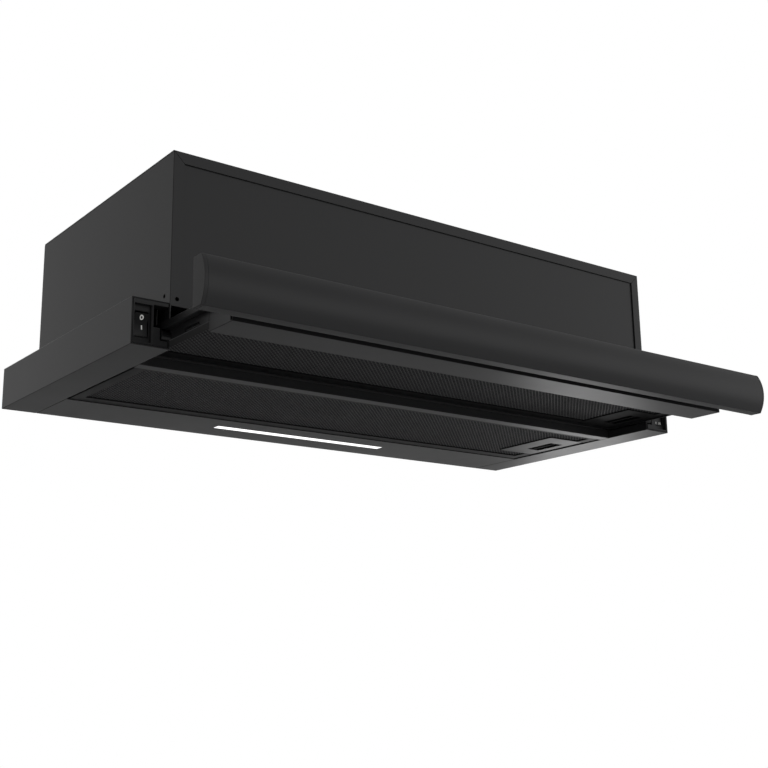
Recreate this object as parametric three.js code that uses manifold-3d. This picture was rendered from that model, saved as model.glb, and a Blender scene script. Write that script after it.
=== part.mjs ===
// Pull-out cooker hood, 600 mm wide, standing on its flat underside with the drawer pulled out.
// Millimetres. X runs along the width, Y from the front to the wall, Z up from the canopy's underside.
// While the pieces are made, Y = 0 is the canopy's front; the last group centres the whole on its footprint.
import * as THREE from 'three';
import { mergeVertices } from 'three/addons/utils/BufferGeometryUtils.js';
import Module from 'manifold-3d';

const wasm = await Module();
wasm.setup();

// ---------------------------------------------------------------- driving sizes
const sheet = 1;               // folded steel sheet
const fit = 0.3;               // clearance between two pieces that meet
const slide = 0.5;             // running clearance of a slide

const canopyWidth = 594;
const canopyDepth = 260;
const canopyHeight = 37;
const stripWidth = 32;         // plain strip of the underside along each side
const rearStripDepth = 67;     // plain strip of the underside along the wall
const lipHeight = 7.5;         // upturned edge round the underside opening

const boxRise = 125;           // chimney box above the canopy
const boxSetback = 2;          // from the canopy's back
const boxLap = 13;             // how far the box's side and back sheets reach into the canopy
const boxFlange = 9.5;         // visible flange round the box's front sheet
const frontLap = 2;            // how far the box's front sheet reaches below the canopy's top
const frontLedge = 10;         // return fold under the front sheet
const rivetHole = 1.75;        // radius of the holes in the box's lower front corners
const rivetInset = 6;          // from the box's corner
const rivetRise = 3.8;         // above the canopy's top
const sideHoleInset = 9.6;     // hole in the box's side, from its front
const sideHoleRise = 7.5;      // above the canopy's top

const barFront = 51;           // crossbar between the drawer opening and the rear filter
const barDepth = 11;
const barHeight = 8;

const fasciaDepth = 9;
const fasciaSetback = 2;       // from the underside opening's edge to the fascia's inner edge
const fasciaFoot = 4.7;        // closed foot below the notch for the guide shoe
const notchWidth = 6.5;
const railWindowWidth = 12;
const railWindowBorder = 2.7;  // fascia above the rail window
const recessDepth = 3.5;
const recessSide = 1;          // wall between the switch recess and the canopy's side
const recessWidth = 14.4;
const recessSill = 1.5;        // fascia below the recess
const recessBorder = 3.5;      // fascia above the recess
const recessChamfer = 1.2;

const switchWidth = 12.8;
const switchHeight = 20.4;
const switchDepth = 21;
const switchWall = 0.6;
const rockerTilt = 7;          // degrees to either side of the middle
const rockerHalf = 8.7;
const rockerReach = 6.4;       // from the pivot to the rocker's proud end
const rockerWaist = 4.6;       // from the pivot to the middle of its face
const rockerSink = 0.9;        // how little the rocker's ends stand out of the switch body

const panelOverhang = 3;       // front panel past the canopy at each side
const panelBottom = 0.4;
const panelBase = 11;          // depth of the profile's flat top and bottom
const panelBulge = 5.5;        // how far the convex front stands out past them
const panelWall = 2;
const capThickness = 3;
const capSpigot = 8;
const closedGap = 1;           // between the panel and the canopy when the drawer is in
const pullOut = 98.5;          // drawer travel, and where it stands here
const ribHeight = 10;          // screw rib on the panel's back
const ribInset = 50;           // from the canopy's sides to the rib's ends

const drawerPlay = 1;          // between the drawer and the underside opening's edge, at each side
const channelFront = 8.5;      // from the panel's back
const channelDepth = 33.5;
const channelHeadroom = 5;     // from the channel's top to the box's front sheet
const channelRearWall = 20;
const channelTopFlange = 11;
const endPlateSlot = 2;        // open slot between the end plate and the channel's front wall
const drawerHeight = 14;
const drawerFlange = 9;
const rearBarDepth = 11;
const rearBarHeight = 11.7;

const railWidth = 5.7;
const railRise = 8;            // drawer rail's lower edge above the drawer's
const railHeight = 5.5;
const fixedRailFront = 26;
const fixedRailLength = 142;
const carrierLength = 152;
const carrierFoot = 4;         // carrier below the fixed rail's channel
const carrierReach = 17;       // carrier's top flange, outwards

const shoeFront = -0.5;
const shoeLength = 14.5;
const shoeWidth = 7.7;
const shoeRound = 4;
const shoeDrop = 1.3;          // from the drawer rail down to the shoe
const screwHead = 2.1;
const screwHeadHeight = 1;
const screwShank = 1.2;

const filterPlay = 2.6;        // between a filter and the underside opening's edge, at each side
const filterEdge = 0.8;        // clearance at a filter's front and back
const rearFilterBottom = 0.5;
const filterThickness = 7;
const drawerFilterRise = 1.3;  // drawer filter above the drawer's lower edge
const drawerFilterThickness = 6;
const filterSideBorder = 10;
const filterFrontBorder = 4.5;
const filterRearBorder = 13;
const filterSkin = 1;          // the mesh lies this far above the frame's underside
const meshThickness = 3;
const diamondWidth = 21;       // coarse stand-in for the expanded metal's openings
const diamondDepth = 13;
const diamondWeb = 4;
const tabWidth = 20;
const tabThickness = 1;
const tabInset = 14;           // from the filter's corners
const tabPlay = 0.8;
const rearTabHeight = 3.2;     // tab's middle above the filter's underside
const drawerTabHeight = 0.6;

const latchPlateWidth = 46;
const latchPlateThickness = 5.5;
const latchPlateInset = 1.5;   // frame left outside the latch plate
const rearPlateFront = 21.7;   // from the rear filter's front and back edges to its latch plate
const rearPlateBack = 29.7;
const drawerPlateFront = 34.7; // the same on the drawer's filter
const drawerPlateBack = 4;
const pocketWidth = 16.5;
const pocketDepth = 36;
const pocketFloor = 1.2;
const pocketRight = 9;         // from the latch plate's outer edge to its finger pocket
const sliderWidth = 9;
const sliderGrip = 2.5;
const gripBottom = 0.4;
const noseWidth = 12;
const noseBottom = 1.8;
const noseThickness = 2;
const noseGap = 0.4;

const lampLength = 198;
const lampWidth = 11;
const lampInset = 36.5;        // from the canopy's back to the lamp's middle
const lensThickness = 1;
const lensFlange = 3;
const lampHousingHeight = 11;
const lampHousingWall = 2.5;
const driverLength = 70;
const driverWidth = 30;
const driverHeight = 18;
const driverGap = 31;          // from the lamp's end to the driver

const fanY = 95;
const fanDrop = 68;            // from the box's top to the fan's axis
const wheelRadius = 46;
const wheelLength = 96;
const bladeCount = 24;
const bladeDepth = 8;
const bladeThickness = 1.2;
const ringWidth = 3;
const discThickness = 2;
const hubRadius = 9;
const hubLength = 26;
const shaftRadius = 3;
const shaftLength = 44;
const scrollWall = 2;
const scrollStart = 53;        // inner radius at the tongue
const scrollEnd = 66;          // inner radius where the outlet begins
const scrollTongue = 70;       // degrees above the level of the axis
const scrollSide = 7;          // between the wheel and the scroll's side walls
const inletRadius = 42;
const neckFlange = 7;
const motorRadius = 34;
const motorLength = 56;
const motorStart = 8;          // from the wheel's hub
const motorBoss = 5;
const bracketRing = 4;
const bracketReach = 52;
const bracketArm = 12;
const bracketThickness = 2;

const outletRadius = 58;       // inside of the collar
const collarWall = 3;
const collarHeight = 35;
const collarFlange = 14;
const collarFlangeThickness = 2;
const flapHeight = 18;         // flap rod above the box's top
const flapThickness = 1.2;
const flapRod = 2;
const flapPlay = 1;            // between the flaps and the collar
const flapLedge = 3;

const terminalInset = 96;      // from the box's side to the terminal box's middle
const terminalBack = 43;       // from the box's back to the same
const terminalLength = 60;
const terminalWidth = 46;
const terminalHeight = 30;
const glandRadius = 8;
const glandBore = 4;
const glandTop = 14;
const glandNut = 11;
const glandNutHeight = 6;
const glandDepth = 5;
const capacitorInset = 116;
const capacitorBack = 53;
const capacitorRadius = 15;
const capacitorLength = 52;

// ---------------------------------------------------------------- sizes that follow
const openingHalf = canopyWidth / 2 - stripWidth;
const rearStripFront = canopyDepth - rearStripDepth;
const lampMiddle = canopyDepth - lampInset;
const driverStart = lampLength / 2 + driverGap;
const boxHalf = openingHalf + sheet;
const boxDepth = canopyDepth - boxSetback;
const boxTop = canopyHeight + boxRise;
const boxSkirt = canopyHeight - boxLap;
const frontSheetBottom = canopyHeight - frontLap;
const rivetHeight = canopyHeight + rivetRise;
const fasciaInner = openingHalf + fasciaSetback;
const notchOuter = fasciaInner + notchWidth;
const railWindowOuter = fasciaInner + railWindowWidth;
const panelWidth = canopyWidth + 2 * panelOverhang;
const panelHeight = canopyHeight - panelBottom;
const panelBack = -pullOut - closedGap;
const channelHalf = openingHalf - drawerPlay;
const channelBottom = panelBottom;
const channelTop = frontSheetBottom - channelHeadroom;
const channelRear = channelFront + channelDepth;
const drawerBottom = barHeight + fit;
const drawerTop = drawerBottom + drawerHeight;
const drawerRear = barFront + barDepth - panelBack;
const rearBarFront = drawerRear - rearBarDepth;
const rearBarTop = drawerBottom + rearBarHeight;
const sideWallFront = channelRear + fit;
const railInner = channelHalf + fit;
const railBottom = drawerBottom + railRise;
const filterHalf = openingHalf - filterPlay;
const rearFilterFront = barFront + barDepth + filterEdge;
const rearFilterDepth = rearStripFront - filterEdge - rearFilterFront;
const drawerFilterFront = channelRear + filterEdge;
const drawerFilterDepth = rearBarFront - filterEdge - drawerFilterFront;
const drawerFilterBottom = drawerBottom + drawerFilterRise;
const fanZ = boxTop - fanDrop;
const scrollInner = wheelLength + 2 * scrollSide;
const tongueY = scrollStart * Math.cos(THREE.MathUtils.degToRad(scrollTongue));
const outletY = fanY + (tongueY + scrollEnd) / 2;
const terminalX = terminalInset - boxHalf;
const terminalY = boxDepth - terminalBack;
const capacitorX = boxHalf - capacitorInset;
const capacitorY = boxDepth - capacitorBack;
const reach = panelBase + panelBulge - panelBack;

// ---------------------------------------------------------------- materials
const paint = (color, roughness, metalness) => (
  new THREE.MeshStandardMaterial({ color, roughness, metalness })
);
const steelCoat = paint(0x2b2b2c, 0.55, 0.1);
const panelCoat = paint(0x303031, 0.45, 0.2);
const blackPlastic = paint(0x222223, 0.5, 0);
const switchPlastic = paint(0x18181a, 0.35, 0);
const railSteel = paint(0x1f1f20, 0.4, 0.4);
const screwSteel = paint(0x6f7276, 0.35, 0.9);
const filterCoat = paint(0x2a2a2b, 0.5, 0.3);
const meshCoat = paint(0x1c1c1d, 0.5, 0.4);
const lens = paint(0xffffff, 0.4, 0);
const lampShell = paint(0xcfcfcc, 0.5, 0);
const scrollPlastic = paint(0x34383c, 0.5, 0);
const wheelPlastic = paint(0x17181a, 0.45, 0);
const motorSteel = paint(0xa9adb0, 0.4, 0.8);
const collarPlastic = paint(0x26272a, 0.5, 0);
const capacitorShell = paint(0xe4e2da, 0.5, 0);

// ---------------------------------------------------------------- shapes
function solid(geometry) {
  geometry.deleteAttribute('normal');
  geometry.deleteAttribute('uv');
  const merged = mergeVertices(geometry, 1e-4);
  const vertProperties = new Float32Array(merged.attributes.position.array);
  const triVerts = new Uint32Array(merged.index.array);
  return new wasm.Manifold(new wasm.Mesh({ numProp: 3, vertProperties, triVerts }));
}

function joined(...bodies) {
  return bodies.reduce((all, body) => all.add(body));
}

function cut(body, ...tools) {
  return tools.reduce((rest, tool) => rest.subtract(tool), body);
}

// A block between two x, two y and two z values, given in either order.
function block(xa, xb, ya, yb, za, zb) {
  const size = [Math.abs(xb - xa), Math.abs(yb - ya), Math.abs(zb - za)];
  const geometry = new THREE.BoxGeometry(...size);
  geometry.translate((xa + xb) / 2, (ya + yb) / 2, (za + zb) / 2);
  return solid(geometry);
}

function extruded(outline, from, to, x, y, z) {
  const shape = new THREE.Shape(outline.map(([a, b]) => new THREE.Vector2(a, b)));
  const depth = Math.abs(to - from);
  const geometry = new THREE.ExtrudeGeometry(shape, { depth, bevelEnabled: false, curveSegments: 1 });
  geometry.applyMatrix4(new THREE.Matrix4().makeBasis(x, y, z));
  return { geometry, low: Math.min(from, to), high: Math.max(from, to) };
}

const axisX = new THREE.Vector3(1, 0, 0);
const axisY = new THREE.Vector3(0, 1, 0);
const axisZ = new THREE.Vector3(0, 0, 1);

// An outline of [y, z] points, run along X.
function alongX(outline, from, to) {
  const { geometry, low } = extruded(outline, from, to, axisY, axisZ, axisX);
  return solid(geometry.translate(low, 0, 0));
}

// An outline of [x, z] points, run along Y.
function alongY(outline, from, to) {
  const { geometry, high } = extruded(outline, from, to, axisX, axisZ, axisY.clone().negate());
  return solid(geometry.translate(0, high, 0));
}

// An outline of [x, y] points, run along Z.
function alongZ(outline, from, to) {
  const { geometry, low } = extruded(outline, from, to, axisX, axisY, axisZ);
  return solid(geometry.translate(0, 0, low));
}

// A round bar that starts at a point and runs along X, Y or Z.
function bar(axis, radius, start, length, sides = 20) {
  const geometry = new THREE.CylinderGeometry(radius, radius, length, sides);
  if (axis === axisX) geometry.rotateZ(-Math.PI / 2);
  if (axis === axisZ) geometry.rotateX(Math.PI / 2);
  const middle = new THREE.Vector3(...start).addScaledVector(axis, length / 2);
  geometry.translate(middle.x, middle.y, middle.z);
  return solid(geometry);
}

function arc(centre, radius, from, to, steps) {
  const points = [];
  for (let i = 0; i <= steps; i += 1) {
    const angle = THREE.MathUtils.degToRad(from + (to - from) * (i / steps));
    points.push([centre[0] + radius * Math.cos(angle), centre[1] + radius * Math.sin(angle)]);
  }
  return points;
}

function piece(name, body, material, parent) {
  const { vertProperties, triVerts } = body.getMesh();
  const geometry = new THREE.BufferGeometry();
  geometry.setAttribute('position', new THREE.BufferAttribute(vertProperties, 3));
  geometry.setIndex(new THREE.BufferAttribute(triVerts, 1));
  geometry.computeVertexNormals();
  const mesh = new THREE.Mesh(geometry, material);
  mesh.name = name;
  parent.add(mesh);
}

function group(parent, x, y, z) {
  const child = new THREE.Group();
  child.position.set(x, y, z);
  parent.add(child);
  return child;
}

const sides = [['left', -1], ['right', 1]];
const hood = new THREE.Group();
hood.position.y = (reach - canopyDepth) / 2;

// ---------------------------------------------------------------- canopy
// Folded channel along each side: outer wall, roof, underside strip with an upturned lip, and back.
function canopySide(side) {
  const outer = side * canopyWidth / 2;
  const wall = outer - side * sheet;
  const edge = side * openingHalf;
  const lip = edge + side * sheet;
  const roof = side * (boxHalf + fit);
  const low = canopyHeight - sheet;
  const fold = alongY([
    [outer, 0], [edge, 0], [edge, lipHeight], [lip, lipHeight], [lip, sheet], [wall, sheet],
    [wall, low], [roof, low], [roof, canopyHeight], [outer, canopyHeight],
  ], 0, canopyDepth);
  const back = block(outer, edge, canopyDepth - sheet, canopyDepth, 0, canopyHeight);
  return joined(fold, back);
}

// Slots in the left lip for the rear filter's two tabs.
function rearTabSlots() {
  const z = rearFilterBottom + rearTabHeight;
  const half = tabThickness / 2 + tabPlay;
  return tabPlaces(rearFilterDepth).map((y) => {
    const front = rearFilterFront + y - tabWidth / 2 - tabPlay;
    const xs = [-openingHalf - sheet - fit, -openingHalf + fit];
    return block(...xs, front, front + tabWidth + 2 * tabPlay, z - half, z + half);
  });
}

function tabPlaces(depth) {
  return [tabInset + tabWidth / 2, depth - tabInset - tabWidth / 2];
}

function canopyRear() {
  const half = openingHalf - fit;
  const fold = alongX([
    [rearStripFront, 0], [canopyDepth, 0], [canopyDepth, canopyHeight],
    [canopyDepth - sheet, canopyHeight], [canopyDepth - sheet, sheet],
    [rearStripFront + sheet, sheet], [rearStripFront + sheet, lipHeight], [rearStripFront, lipHeight],
  ], -half, half);
  const x = lampLength / 2 + fit;
  const y = lampWidth / 2 + fit;
  return cut(fold, block(-x, x, lampMiddle - y, lampMiddle + y, -sheet, 2 * sheet));
}

function crossbar() {
  const half = openingHalf - fit;
  const back = barFront + barDepth;
  return alongX([
    [barFront, 0], [back, 0], [back, barHeight], [back - sheet, barHeight], [back - sheet, sheet],
    [barFront + sheet, sheet], [barFront + sheet, barHeight], [barFront, barHeight],
  ], -half, half);
}

piece('canopy_side_left', cut(canopySide(-1), ...rearTabSlots()), steelCoat, hood);
piece('canopy_side_right', canopySide(1), steelCoat, hood);
piece('canopy_rear', canopyRear(), steelCoat, hood);
piece('crossbar', crossbar(), steelCoat, hood);

// ---------------------------------------------------------------- chimney box
const roofLow = boxTop - sheet;
const flangeInner = boxHalf - boxFlange;
const mitreGap = fit * Math.SQRT2;

function boxSide(side) {
  const wall = block(side * boxHalf, side * (boxHalf - sheet), 0, boxDepth, boxSkirt, roofLow - fit);
  const mitre = boxTop - boxFlange - mitreGap;
  const top = roofLow - fit;
  const flange = alongY([
    [side * boxHalf, frontSheetBottom], [side * flangeInner, frontSheetBottom],
    [side * flangeInner, mitre],
    [side * (flangeInner + top - mitre), top], [side * boxHalf, top],
  ], 0, sheet);
  const start = side * boxHalf - 2 * sheet;
  const hole = bar(axisX, rivetHole, [start, sideHoleInset, canopyHeight + sideHoleRise], 4 * sheet, 12);
  return cut(joined(wall, flange), rivet(side), hole);
}

function rivet(side) {
  return bar(axisY, rivetHole, [side * (boxHalf - rivetInset), -sheet, rivetHeight], 4 * sheet, 12);
}

function boxRoof() {
  const plate = block(-boxHalf, boxHalf, 0, boxDepth, roofLow, boxTop);
  const flange = alongY([
    [-boxHalf, boxTop], [-flangeInner, boxTop - boxFlange], [flangeInner, boxTop - boxFlange],
    [boxHalf, boxTop],
  ], 0, sheet);
  const outlet = bar(axisZ, outletRadius, [0, outletY, roofLow - sheet], 3 * sheet, 48);
  const gland = bar(axisZ, glandRadius + fit, [terminalX, terminalY, roofLow - sheet], 3 * sheet);
  return cut(joined(plate, flange), outlet, gland);
}

function boxFront() {
  const half = boxHalf - sheet - fit;
  const front = sheet + fit;
  const plate = block(-half, half, front, front + sheet, frontSheetBottom, roofLow - fit);
  const ledge = block(-half, half, front, front + frontLedge, frontSheetBottom, frontSheetBottom + sheet);
  return cut(joined(plate, ledge), rivet(-1), rivet(1));
}

function boxBack() {
  const half = boxHalf - sheet - fit;
  return block(-half, half, boxDepth - sheet, boxDepth, boxSkirt, roofLow - fit);
}

for (const [name, side] of sides) piece(`box_side_${name}`, boxSide(side), steelCoat, hood);
piece('box_top', boxRoof(), steelCoat, hood);
piece('box_front', boxFront(), steelCoat, hood);
piece('box_back', boxBack(), steelCoat, hood);

// ---------------------------------------------------------------- fascias and switches
const fasciaOuter = canopyWidth / 2 - sheet - fit;
const recessOuter = fasciaOuter - recessSide;
const recessInner = recessOuter - recessWidth;
const fasciaBottom = sheet + fit;
const fasciaTop = canopyHeight - sheet - fit;
const footTop = fasciaBottom + fasciaFoot;
const recessBottom = fasciaBottom + recessSill;
const recessTop = fasciaTop - recessBorder;
const switchX = (recessOuter + recessInner) / 2;
const switchMiddle = (recessBottom + recessTop) / 2;
const switchFront = recessDepth - switchWall;

function fascia(side) {
  const low = fasciaBottom;
  const high = fasciaTop;
  const windowBottom = railBottom - slide - fit;
  const windowTop = high - railWindowBorder;
  const outline = [
    [fasciaOuter, low], [fasciaInner, low], [fasciaInner, footTop], [notchOuter, footTop],
    [notchOuter, windowBottom], [railWindowOuter, windowBottom],
    [railWindowOuter, windowTop], [fasciaInner, windowTop], [fasciaInner, high],
    [fasciaOuter, high],
  ].map(([x, z]) => [side * x, z]);
  const recess = alongZ([
    [recessOuter, -fit], [recessOuter, recessDepth], [recessInner, recessDepth],
    [recessInner, recessChamfer], [recessInner - recessChamfer - fit, -fit],
  ].map(([x, y]) => [side * x, y]), recessBottom, recessTop);
  const halfX = switchWidth / 2 + fit;
  const halfZ = switchHeight / 2 + fit;
  const hole = block(
    side * (switchX - halfX), side * (switchX + halfX), 0, fasciaDepth + fit,
    switchMiddle - halfZ, switchMiddle + halfZ,
  );
  return cut(alongY(outline, 0, fasciaDepth), recess, hole);
}

function switchBody(side) {
  const halfX = switchWidth / 2;
  const halfZ = switchHeight / 2;
  const back = switchFront + switchDepth;
  const outside = block(
    side * (switchX - halfX), side * (switchX + halfX), switchFront, back,
    switchMiddle - halfZ, switchMiddle + halfZ,
  );
  const inside = block(
    side * (switchX - halfX + switchWall), side * (switchX + halfX - switchWall), 0, rockerPivot + 4,
    switchMiddle - halfZ + switchWall, switchMiddle + halfZ - switchWall,
  );
  return cut(outside, inside);
}

// Rocker, tilted with its lower end pressed in. Its outline is given round the pivot.
const rockerPivot = recessDepth + rockerReach - rockerSink;

function rocker() {
  const half = switchWidth / 2 - switchWall - fit;
  return alongX([
    [-rockerReach, rockerHalf], [-rockerWaist, 0], [-rockerReach, -rockerHalf],
    [-1, -rockerHalf + 1.2], [2, -3], [2, 3], [-1, rockerHalf - 1.2],
  ], -half, half);
}

for (const [name, side] of sides) {
  piece(`fascia_${name}`, fascia(side), blackPlastic, hood);
  piece(`switch_body_${name}`, switchBody(side), switchPlastic, hood);
  const pivot = group(hood, side * switchX, rockerPivot, switchMiddle);
  pivot.rotation.x = THREE.MathUtils.degToRad(rockerTilt);
  piece(`rocker_${name}`, rocker(), switchPlastic, pivot);
}

// ---------------------------------------------------------------- slides in the canopy
const railOuter = railInner + railWidth;
const railTop = railBottom + railHeight;
const trackBack = railOuter + slide;           // inner face of the fixed rail's web
const carrierInner = trackBack + sheet + fit;

function fixedRail(side) {
  const mouth = side * (railInner + fit);
  const back = side * trackBack;
  const outer = side * (trackBack + sheet);
  const low = railBottom - slide;
  const high = railTop + slide;
  return alongY([
    [mouth, low - sheet], [outer, low - sheet], [outer, high + sheet], [mouth, high + sheet],
    [mouth, high], [back, high], [back, low], [mouth, low],
  ], fixedRailFront, fixedRailFront + fixedRailLength);
}

function railCarrier(side) {
  const inner = side * carrierInner;
  const outer = side * (carrierInner + sheet);
  const roof = canopyHeight - sheet - fit;
  const low = railBottom - slide - carrierFoot;
  return alongY([
    [inner, low], [outer, low], [outer, roof - sheet], [outer + side * carrierReach, roof - sheet],
    [outer + side * carrierReach, roof], [inner, roof],
  ], fixedRailFront, fixedRailFront + carrierLength);
}

// Guide shoe on the fascia's foot at each rail mouth, round at its front, and the screw in it.
const shoeBottom = footTop + fit;
const shoeTop = railBottom - shoeDrop;
const shoeInner = channelHalf + fit;
const shoeScrewY = shoeFront + shoeRound + 1;
const shoeScrewZ = (shoeBottom + shoeTop) / 2;

function guideShoe(side) {
  const back = shoeFront + shoeLength;
  const top = shoeTop;
  const outline = [
    [back, shoeBottom], [back, top],
    ...arc([shoeFront + shoeRound, top - shoeRound], shoeRound, 90, 180, 6),
    ...arc([shoeFront + shoeRound, shoeBottom + shoeRound], shoeRound, 180, 270, 6),
  ];
  const body = alongX(outline, side * shoeInner, side * (shoeInner + shoeWidth));
  const start = side > 0 ? shoeInner + shoeWidth / 2 : -shoeInner - shoeWidth;
  const depth = shoeWidth / 2 + 2 * fit;
  const hole = bar(axisX, screwShank + fit, [start - fit, shoeScrewY, shoeScrewZ], depth, 12);
  const overLip = block(
    side * (shoeInner - fit), side * (openingHalf + sheet + fit),
    shoeFront - fit, back + fit, 0, lipHeight + fit,
  );
  return cut(body, hole, overLip);
}

function guideScrew(side) {
  const face = shoeInner + shoeWidth + fit;
  const head = face + screwHeadHeight;
  const xs = side > 0 ? [face, face - shoeWidth / 2 - fit] : [-head, -face - fit];
  const disc = bar(axisX, screwHead, [xs[0], shoeScrewY, shoeScrewZ], screwHeadHeight, 16);
  const shank = bar(axisX, screwShank, [xs[1], shoeScrewY, shoeScrewZ], shoeWidth / 2 + 2 * fit, 12);
  return joined(disc, shank);
}

for (const [name, side] of sides) {
  piece(`rail_carrier_${name}`, railCarrier(side), railSteel, hood);
  piece(`fixed_rail_${name}`, fixedRail(side), railSteel, hood);
  piece(`guide_shoe_${name}`, guideShoe(side), blackPlastic, hood);
  piece(`guide_screw_${name}`, guideScrew(side), screwSteel, hood);
}

// ---------------------------------------------------------------- drawer
// The drawer's own frame has Y = 0 on the back of the front panel.
const drawer = group(hood, 0, panelBack, 0);
const panelMiddle = panelBottom + panelHeight / 2;

// Panel section: flat top, bottom and back, convex front; drawn in by an inset all round.
function panelOutline(inset) {
  const half = panelHeight / 2;
  const radius = (half * half + panelBulge * panelBulge) / (2 * panelBulge);
  const centre = radius - panelBase - panelBulge;
  const swing = THREE.MathUtils.radToDeg(Math.asin((half - inset) / (radius - inset)));
  return [
    [-inset, panelMiddle - half + inset],
    [-inset, panelMiddle + half - inset],
    ...arc([centre, panelMiddle], radius - inset, 180 - swing, 180 + swing, 12),
  ];
}

const ribHalf = canopyWidth / 2 - ribInset;
const panelScrews = [-0.8, -0.28, 0.28, 0.8].map((share) => share * ribHalf);
const panelScrewShank = 1.9;
const panelScrewHead = 3.6;
const panelScrewHeadHeight = 2.2;
const screwStart = 1.5;        // the screws' tips, from the panel's back

function frontPanel() {
  const half = panelWidth / 2 - capThickness;
  const skin = alongX(panelOutline(0), -half, half);
  const hollow = alongX(panelOutline(panelWall), -half - 1, half + 1);
  const rib = block(
    -ribHalf, ribHalf, -panelWall / 2, channelFront - fit,
    panelMiddle - ribHeight / 2, panelMiddle + ribHeight / 2,
  );
  const pilots = panelScrews.map((x) => bar(
    axisY, panelScrewShank + fit, [x, screwStart - fit, panelMiddle], channelFront, 12,
  ));
  return cut(joined(cut(skin, hollow), rib), ...pilots);
}

function endCap(side) {
  const inner = side * (panelWidth / 2 - capThickness);
  const plate = alongX(panelOutline(0), inner, side * panelWidth / 2);
  const spigot = alongX(panelOutline(panelWall + fit), inner - side * capSpigot, inner);
  const hollow = alongX(panelOutline(2 * panelWall), inner - side * (capSpigot + 1), inner);
  return joined(plate, cut(spigot, hollow));
}

function panelScrew(x) {
  const wallBack = channelFront + sheet + fit;
  const shank = bar(axisY, panelScrewShank, [x, screwStart, panelMiddle], wallBack - screwStart + fit, 12);
  return joined(shank, bar(axisY, panelScrewHead, [x, wallBack, panelMiddle], panelScrewHeadHeight, 16));
}

// Folded channel behind the panel: its underside is the plain strip in front of the filter.
function drawerChannel() {
  const top = channelTop;
  const front = channelFront;
  const fold = alongX([
    [front, channelBottom], [channelRear, channelBottom], [channelRear, channelRearWall],
    [channelRear - sheet, channelRearWall], [channelRear - sheet, channelBottom + sheet],
    [front + sheet, channelBottom + sheet], [front + sheet, top - sheet],
    [front + channelTopFlange, top - sheet], [front + channelTopFlange, top], [front, top],
  ], -channelHalf, channelHalf);
  const ends = sides.map(([, side]) => block(
    side * channelHalf, side * (channelHalf - sheet), front + sheet + endPlateSlot, channelRear,
    channelBottom, drawerTop,
  ));
  const holes = panelScrews.map((x) => bar(
    axisY, panelScrewShank + fit, [x, front - fit, panelMiddle], sheet + 2 * fit, 12,
  ));
  return cut(joined(fold, ...ends), ...holes);
}

function drawerSide(side) {
  const outer = side * channelHalf;
  const inner = outer - side * sheet;
  const flange = inner - side * drawerFlange;
  return alongY([
    [outer, drawerBottom], [outer, drawerTop], [flange, drawerTop], [flange, drawerTop - sheet],
    [inner, drawerTop - sheet], [inner, drawerBottom],
  ], sideWallFront, drawerRear);
}

function drawerTabSlots() {
  const z = drawerFilterBottom + drawerTabHeight;
  const half = tabThickness / 2 + tabPlay;
  return tabPlaces(drawerFilterDepth).map((y) => {
    const front = drawerFilterFront + y - tabWidth / 2 - tabPlay;
    const xs = [-channelHalf - fit, -channelHalf + sheet + fit];
    return block(...xs, front, front + tabWidth + 2 * tabPlay, z - half, z + half);
  });
}

function rearBar() {
  const half = channelHalf - sheet - fit;
  const back = drawerRear;
  return alongX([
    [rearBarFront, drawerBottom], [back, drawerBottom], [back, rearBarTop], [back - sheet, rearBarTop],
    [back - sheet, drawerBottom + sheet], [rearBarFront + sheet, drawerBottom + sheet],
    [rearBarFront + sheet, rearBarTop], [rearBarFront, rearBarTop],
  ], -half, half);
}

function drawerRail(side) {
  return block(
    side * railInner, side * railOuter, channelFront + sheet, drawerRear, railBottom, railTop,
  );
}

piece('front_panel', frontPanel(), panelCoat, drawer);
for (const [name, side] of sides) piece(`end_cap_${name}`, endCap(side), blackPlastic, drawer);
panelScrews.forEach((x, i) => piece(`panel_screw_${i + 1}`, panelScrew(x), screwSteel, drawer));
piece('drawer_channel', drawerChannel(), steelCoat, drawer);
piece('drawer_side_left', cut(drawerSide(-1), ...drawerTabSlots()), steelCoat, drawer);
piece('drawer_side_right', drawerSide(1), steelCoat, drawer);
piece('drawer_rear_bar', rearBar(), steelCoat, drawer);
for (const [name, side] of sides) piece(`drawer_rail_${name}`, drawerRail(side), railSteel, drawer);

// ---------------------------------------------------------------- grease filters
// A filter's own frame has Y = 0 at its front edge and Z = 0 at its underside.
function filterLayout(depth, thickness, plateFront, plateBack, tabZ, tabReach, noseReach) {
  const meshHalf = filterHalf - filterSideBorder;
  const meshBack = depth - filterRearBorder;
  const plateRight = filterHalf - latchPlateInset;
  const plateLeft = plateRight - latchPlateWidth;
  const plateRear = depth - plateBack;
  const plateMiddle = (plateFront + plateRear) / 2;
  const noseFront = plateMiddle - noseWidth / 2;
  const noseRear = plateMiddle + noseWidth / 2;
  return {
    depth, thickness, tabZ, tabReach, noseReach, meshHalf, meshBack,
    plateLeft, plateRight, plateFront, plateRear, plateMiddle, noseFront, noseRear,
  };
}

function platePocket(f, grow) {
  return [f.plateLeft - grow, f.plateRight + grow, f.plateFront - grow, f.plateRear + grow];
}

function filterFrame(f) {
  const outside = block(-filterHalf, filterHalf, 0, f.depth, 0, f.thickness);
  const inside = block(-f.meshHalf, f.meshHalf, filterFrontBorder, f.meshBack, -1, f.thickness + 1);
  const pocket = block(...platePocket(f, fit), -1, latchPlateThickness + fit);
  const nose = block(
    f.plateRight, filterHalf + 1, f.noseFront - slide, f.noseRear + slide,
    noseBottom - slide, noseBottom + noseThickness + slide,
  );
  const tabs = tabPlaces(f.depth).map((y) => block(
    -filterHalf - f.tabReach, -filterHalf + 1, y - tabWidth / 2, y + tabWidth / 2,
    f.tabZ - tabThickness / 2, f.tabZ + tabThickness / 2,
  ));
  return joined(cut(outside, inside, pocket, nose), ...tabs);
}

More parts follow.
